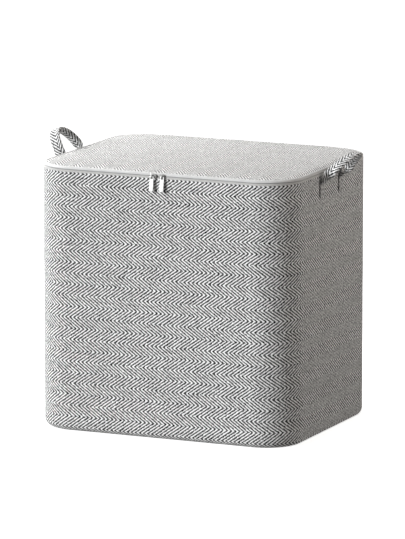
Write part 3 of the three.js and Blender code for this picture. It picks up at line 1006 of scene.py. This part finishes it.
# ---- small sewn and metal parts ----
def rounded_plate(corners, thickness, bevel, segments=3):
    """A closed plate from z 0 up to its thickness, on an outline of (x, y) corners, with its edges rounded."""
    bm = bmesh.new()
    low = [bm.verts.new((x, y, 0)) for x, y in corners]
    face = bm.faces.new(low)
    top = bmesh.ops.extrude_face_region(bm, geom=[face])
    verts = [v for v in top["geom"] if isinstance(v, bmesh.types.BMVert)]
    bmesh.ops.translate(bm, verts=verts, vec=(0, 0, thickness))
    bmesh.ops.recalc_face_normals(bm, faces=bm.faces)
    edges = [e for e in bm.edges if e.calc_face_angle(0) > math.radians(50)]
    bmesh.ops.bevel(bm, geom=edges, offset=bevel, segments=segments, affect="EDGES", profile=0.5)
    return bm


def settle(bm, name, matrix, material):
    """An object from a bmesh in mm, moved by matrix, with its cloth map taken from x and y before that."""
    layer = bm.loops.layers.uv.new(WEAVE)
    for face in bm.faces:
        for loop in face.loops:
            loop[layer].uv = (loop.vert.co.x * MM, loop.vert.co.y * MM)
    bmesh.ops.transform(bm, matrix=Matrix.Scale(MM, 4) @ matrix, verts=bm.verts)
    mesh = bpy.data.meshes.new(name)
    bm.to_mesh(mesh)
    bm.free()
    mesh.materials.append(material)
    soften(mesh, 35)
    return in_scene(name, mesh)


def rounded_outline(x0, x1, y0, y1, r, steps=4):
    """Corners of a rectangle with rounded corners, anticlockwise."""
    corners = []
    centres = (x1 - r, y0 + r, -90), (x1 - r, y1 - r, 0), (x0 + r, y1 - r, 90), (x0 + r, y0 + r, 180)
    for cx, cy, a0 in centres:
        for k in range(steps + 1):
            a = math.radians(a0 + 90 * k / steps)
            corners.append((cx + r * math.cos(a), cy + r * math.sin(a)))
    return corners


def join(name, *parts):
    """One object from several, with the first one's name and material."""
    bm = bmesh.new()
    for part in parts:
        bm.from_mesh(part.data)
    bm.to_mesh(parts[0].data)
    bm.free()
    for part in parts[1:]:
        bpy.data.objects.remove(part)
    parts[0].name = name
    return parts[0]


# local x along the bin, local y up, local z out of the wall
FACING = Matrix.Rotation(math.radians(90), 4, "X")

SLIDER_HALF_HEIGHT = 4.2
# one half of the front plate's outline, as shares of its half length and half height; +x is the nose, where
# the two rows of teeth part, and it faces away from the other slider
SLIDER_SHAPE = ((-1, -0.62), (-0.35, -0.9), (0.45, -1), (0.9, -0.82), (1, -0.35), (0.8, 0.0))
CROWN_HALF, CROWN_PROUD = 2.3, 3.1 - 0.15
CROWN_SECTION = ((-1, -0.7), (-0.8, -1), (0.8, -1), (1, -0.7), (1, 0.7), (0.8, 1), (-0.8, 1), (-1, 0.7))


def slider_piece(label, side):
    """Front plate, web, back plate, and the crown that the pull hangs from."""
    (x0, _, _), (x1, _, _) = mm_box(f"slider_{label}")
    middle_x, half = (x0 + x1) / 2, (x1 - x0) / 2
    plate_back, plate_front = -HALF_Y - 0.35, -HALF_Y - 2.55
    outline = SLIDER_SHAPE + tuple((x, -y) for x, y in SLIDER_SHAPE[-2::-1])
    shape = [(x * half * side, y * SLIDER_HALF_HEIGHT) for x, y in outline][::side]

    def plate(name, corners, thickness, y, *rounding):
        place = Matrix.Translation((middle_x, y, PARTING)) @ FACING
        return settle(rounded_plate(corners, thickness, *rounding), name, place, slider_metal)

    front = plate("front", shape, plate_back - plate_front, plate_back, 0.55)
    back = plate("back", rounded_outline(0.4 - half, half - 0.4, -3.1, 0.25, 0.5), 0.95, 6.38 - HALF_Y, 0.2)
    web = plate("web", rounded_outline(1.2 - half, half - 1.2, -0.28, 0.28, 0.1), 6.6, 5.9 - HALF_Y, 0.08, 1)

    crown_x = middle_x + side * 2.0
    steps = 12
    arch = []
    for k in range(steps + 1):
        a = math.pi * k / steps
        arch.append((-math.cos(a) * CROWN_HALF, plate_front + 0.4 - CROWN_PROUD * math.sin(a) ** 0.6))
    points = []
    for k, (z, y) in enumerate(arch):
        before, after = arch[max(k - 1, 0)], arch[min(k + 1, steps)]
        dz, dy = after[0] - before[0], after[1] - before[1]
        size = math.hypot(dz, dy)
        out_z, out_y = dy / size, -dz / size
        for w, h in CROWN_SECTION:
            points.append((crown_x + w * 1.15, y + out_y * h * 0.5, PARTING + z + out_z * h * 0.5))
    faces, uvs = tube(steps + 1, len(CROWN_SECTION), lambda r, k: (r, k))
    crown = make("crown", points, faces, uvs, slider_metal, 50)
    done(join(f"zip_slider_{label}", front, back, web, crown), f"slider_{label}", "zip_metal", f"slider_{label}")


PULL_TILT = math.radians(8)  # at rest its lower end stands out from the wall by this
PULL_LENGTH = 28.0
PULL_WIDTH = 7.6
PULL_THICK = 1.3


def pull_piece(label, side):
    """A flat tab with an eye at its top and a raised panel on each face, hanging from the slider's crown."""
    bar, half, edge = PULL_THICK / 2, PULL_WIDTH / 2, 0.26
    low = bar - PULL_LENGTH
    eye = rounded_outline(-2.3, 2.3, -bar - 5.2, -bar - 0.2, 0.8, 3)
    outer = rounded_outline(-half, half, low, bar, 1.7, 5)
    curve = bpy.data.curves.new("tab", "CURVE")
    curve.dimensions, curve.fill_mode = "2D", "BOTH"
    curve.extrude, curve.bevel_depth, curve.bevel_resolution = bar - 0.28, edge, 2
    # the bevel stands out from the curve, so the outer one is drawn that much smaller
    for loop, inset in ((outer, edge), (eye, 0.0)):
        spline = curve.splines.new("POLY")
        spline.points.add(len(loop) - 1)
        cx, cy = sum(x for x, _ in loop) / len(loop), sum(y for _, y in loop) / len(loop)
        for point, (x, y) in zip(spline.points, loop):
            sx = x - math.copysign(min(inset, abs(x - cx)), x - cx)
            sy = y - math.copysign(min(inset, abs(y - cy)), y - cy)
            point.co = (sx, sy, 0, 1)
        spline.use_cyclic_u = True
    holder = in_scene("tab", curve)
    bpy.context.view_layer.update()
    mesh = bpy.data.meshes.new_from_object(holder.evaluated_get(bpy.context.evaluated_depsgraph_get()))
    bpy.data.objects.remove(holder)
    bpy.data.curves.remove(curve)
    bm = bmesh.new()
    bm.from_mesh(mesh)
    bpy.data.meshes.remove(mesh)
    bmesh.ops.remove_doubles(bm, verts=bm.verts, dist=1e-4)
    for layer in list(bm.loops.layers.uv.values()):
        bm.loops.layers.uv.remove(layer)
    pivot = Vector((side * 10.0, -HALF_Y - 3.55, PARTING))
    place = Matrix.Translation(pivot) @ Matrix.Rotation(-PULL_TILT, 4, "X") @ FACING
    parts = [settle(bm, "tab", place, metal)]
    for lift in (-bar - 0.06, bar - 0.1):
        pad = rounded_plate(rounded_outline(-half + 1.2, half - 1.2, low + 1.5, -bar - 7.0, 1.0), 0.16, 0.07, 1)
        parts.append(settle(pad, "pad", place @ Matrix.Translation((0, 0, lift)), metal))
    done(join(f"zip_pull_{label}", *parts), f"pull_{label}", "zip_metal", f"pull_{label}")


def plate_for(node, name, rounding, bevel, material, slot):
    """A plate in the place of a CAD node that lies flat against the back or front of a wall."""
    (x0, y0, z0), (x1, y1, z1) = mm_box(node)
    plate = rounded_plate(rounded_outline(x0, x1, z0, z1, *rounding), y1 - y0, bevel)
    done(settle(plate, name, Matrix.Translation((0, y1, 0)) @ FACING, material), "bin_body", slot, node)


SEWN_IN = 1.8  # from an end tab's edge to its row of stitches

for label, side in (("left", -1), ("right", 1)):
    slider_piece(label, side)
    pull_piece(label, side)

    end_tab = f"zip_end_tab_{label}"
    plate_for(end_tab, f"end_tab_{label}", (1.2, 4), 0.25, tape, "zip_tape")
    (x0, _, z0), (x1, y1, z1) = mm_box(end_tab)
    x0, x1, z0, z1 = x0 + SEWN_IN, x1 - SEWN_IN, z0 + SEWN_IN, z1 - SEWN_IN
    corners = [(x0, y1, z0), (x1, y1, z0), (x1, y1, z1), (x0, y1, z1)]
    seats = seats_between(corners, ROUND_SQUARE, (0, 1, 0), 3)
    done(stitches(f"end_tab_stitches_{label}", seats, thread, length=2.2, radius=0.2), "bin_body", "zip_tape")

    plate_for(f"zip_stop_{label}", f"zip_stop_clip_{label}", (0.4, 3), 0.3, metal, "zip_metal")

    (x0, y0, z0), (x1, y1, z1) = mm_box(f"handle_patch_{label}")
    patch = rounded_plate(rounded_outline(y0, y1, z0, z1, 3.0, 5), x1 - x0 - 0.1, 0.25)
    turn = Matrix(((0, 0, 1, x0 + 0.05), (1, 0, 0, 0), (0, 1, 0, 0), (0, 0, 0, 1)))
    done(settle(patch, f"inner_patch_{label}", turn, binding), "bin_body", "zip_tape", f"handle_patch_{label}")
    seats = box_stitch(x0 if side > 0 else x1, -side, 4)
    done(stitches(f"inner_patch_stitches_{label}", seats, thread, length=2.8, radius=0.22), "bin_body", "zip_tape")

for node in ("wall_board_front", "wall_board_back", "base_board", "lid_board"):
    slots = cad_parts[node].data.materials
    for k in range(len(slots)):
        slots[k] = board

# ---- camera, floor and light ----
camera = in_scene("camera", bpy.data.cameras.new("camera"))
bpy.context.scene.camera = camera
camera.data.lens = 368.0
camera.data.sensor_width = 36.0
camera.location = (3.9886, -8.9035, 2.0800)
aim = Vector((-0.003, -0.001, 0.274))
camera.rotation_mode = "QUATERNION"
camera.rotation_quaternion = (aim - camera.location).to_track_quat("-Z", "Y")
camera.data.clip_start, camera.data.clip_end = 0.1, 100.0

floor_mesh = bpy.data.meshes.new("floor")
reach = 40.0
floor_mesh.from_pydata([(-reach, -reach, 0), (reach, -reach, 0), (reach, reach, 0), (-reach, reach, 0)], [],
                       [(0, 1, 2, 3)])
floor = in_scene("floor", floor_mesh)
paper = Nodes("floor_paper")
paper.finish((0.9, 0.9, 0.9, 1), 0.9, Emission_Color=(1, 1, 1, 1), Emission_Strength=0.72)
floor_mesh.materials.append(paper.material)
floor.visible_diffuse = False


def light(name, kind, towards, colour=(1, 1, 1), **settings):
    """A lamp whose light comes from the direction towards."""
    lamp = bpy.data.lights.new(name, kind)
    lamp.color = colour
    for key, value in settings.items():
        setattr(lamp, key, value)
    holder = in_scene(name, lamp)
    holder.rotation_mode = "QUATERNION"
    holder.rotation_quaternion = towards.to_track_quat("Z", "Y")
    return holder


def softbox(name, place, aim_at, power, colour=(1, 1, 1)):
    """A square panel light."""
    towards = Vector(place) - Vector(aim_at)
    light(name, "AREA", towards, colour, energy=power, size=0.8).location = place


# the key comes from the front, 36 degrees to the left and 17 degrees up
azimuth, elevation = math.radians(-36), math.radians(17)
from_key = Vector((math.sin(azimuth) * math.cos(elevation), -math.cos(azimuth) * math.cos(elevation),
                   math.sin(elevation)))
light("key", "SUN", from_key, (0.967, 0.984, 1.0), energy=3.75, angle=math.radians(26))
softbox("top_light", (-1.15, 0.3, 1.2), (0, 0, 0.48), 27.0)
softbox("side_light", (1.5, 0.35, 1.0), (0.25, 0, 0.2), 8.0, (1.0, 0.93, 0.87))

world = bpy.data.worlds.new("studio")
bpy.context.scene.world = world
world.use_nodes = True
background = next(n for n in world.node_tree.nodes if n.type == "BACKGROUND")
background.inputs["Color"].default_value = (1.0, 0.97, 0.94, 1)
background.inputs["Strength"].default_value = 0.2
bpy.context.scene.view_settings.view_transform = "Standard"
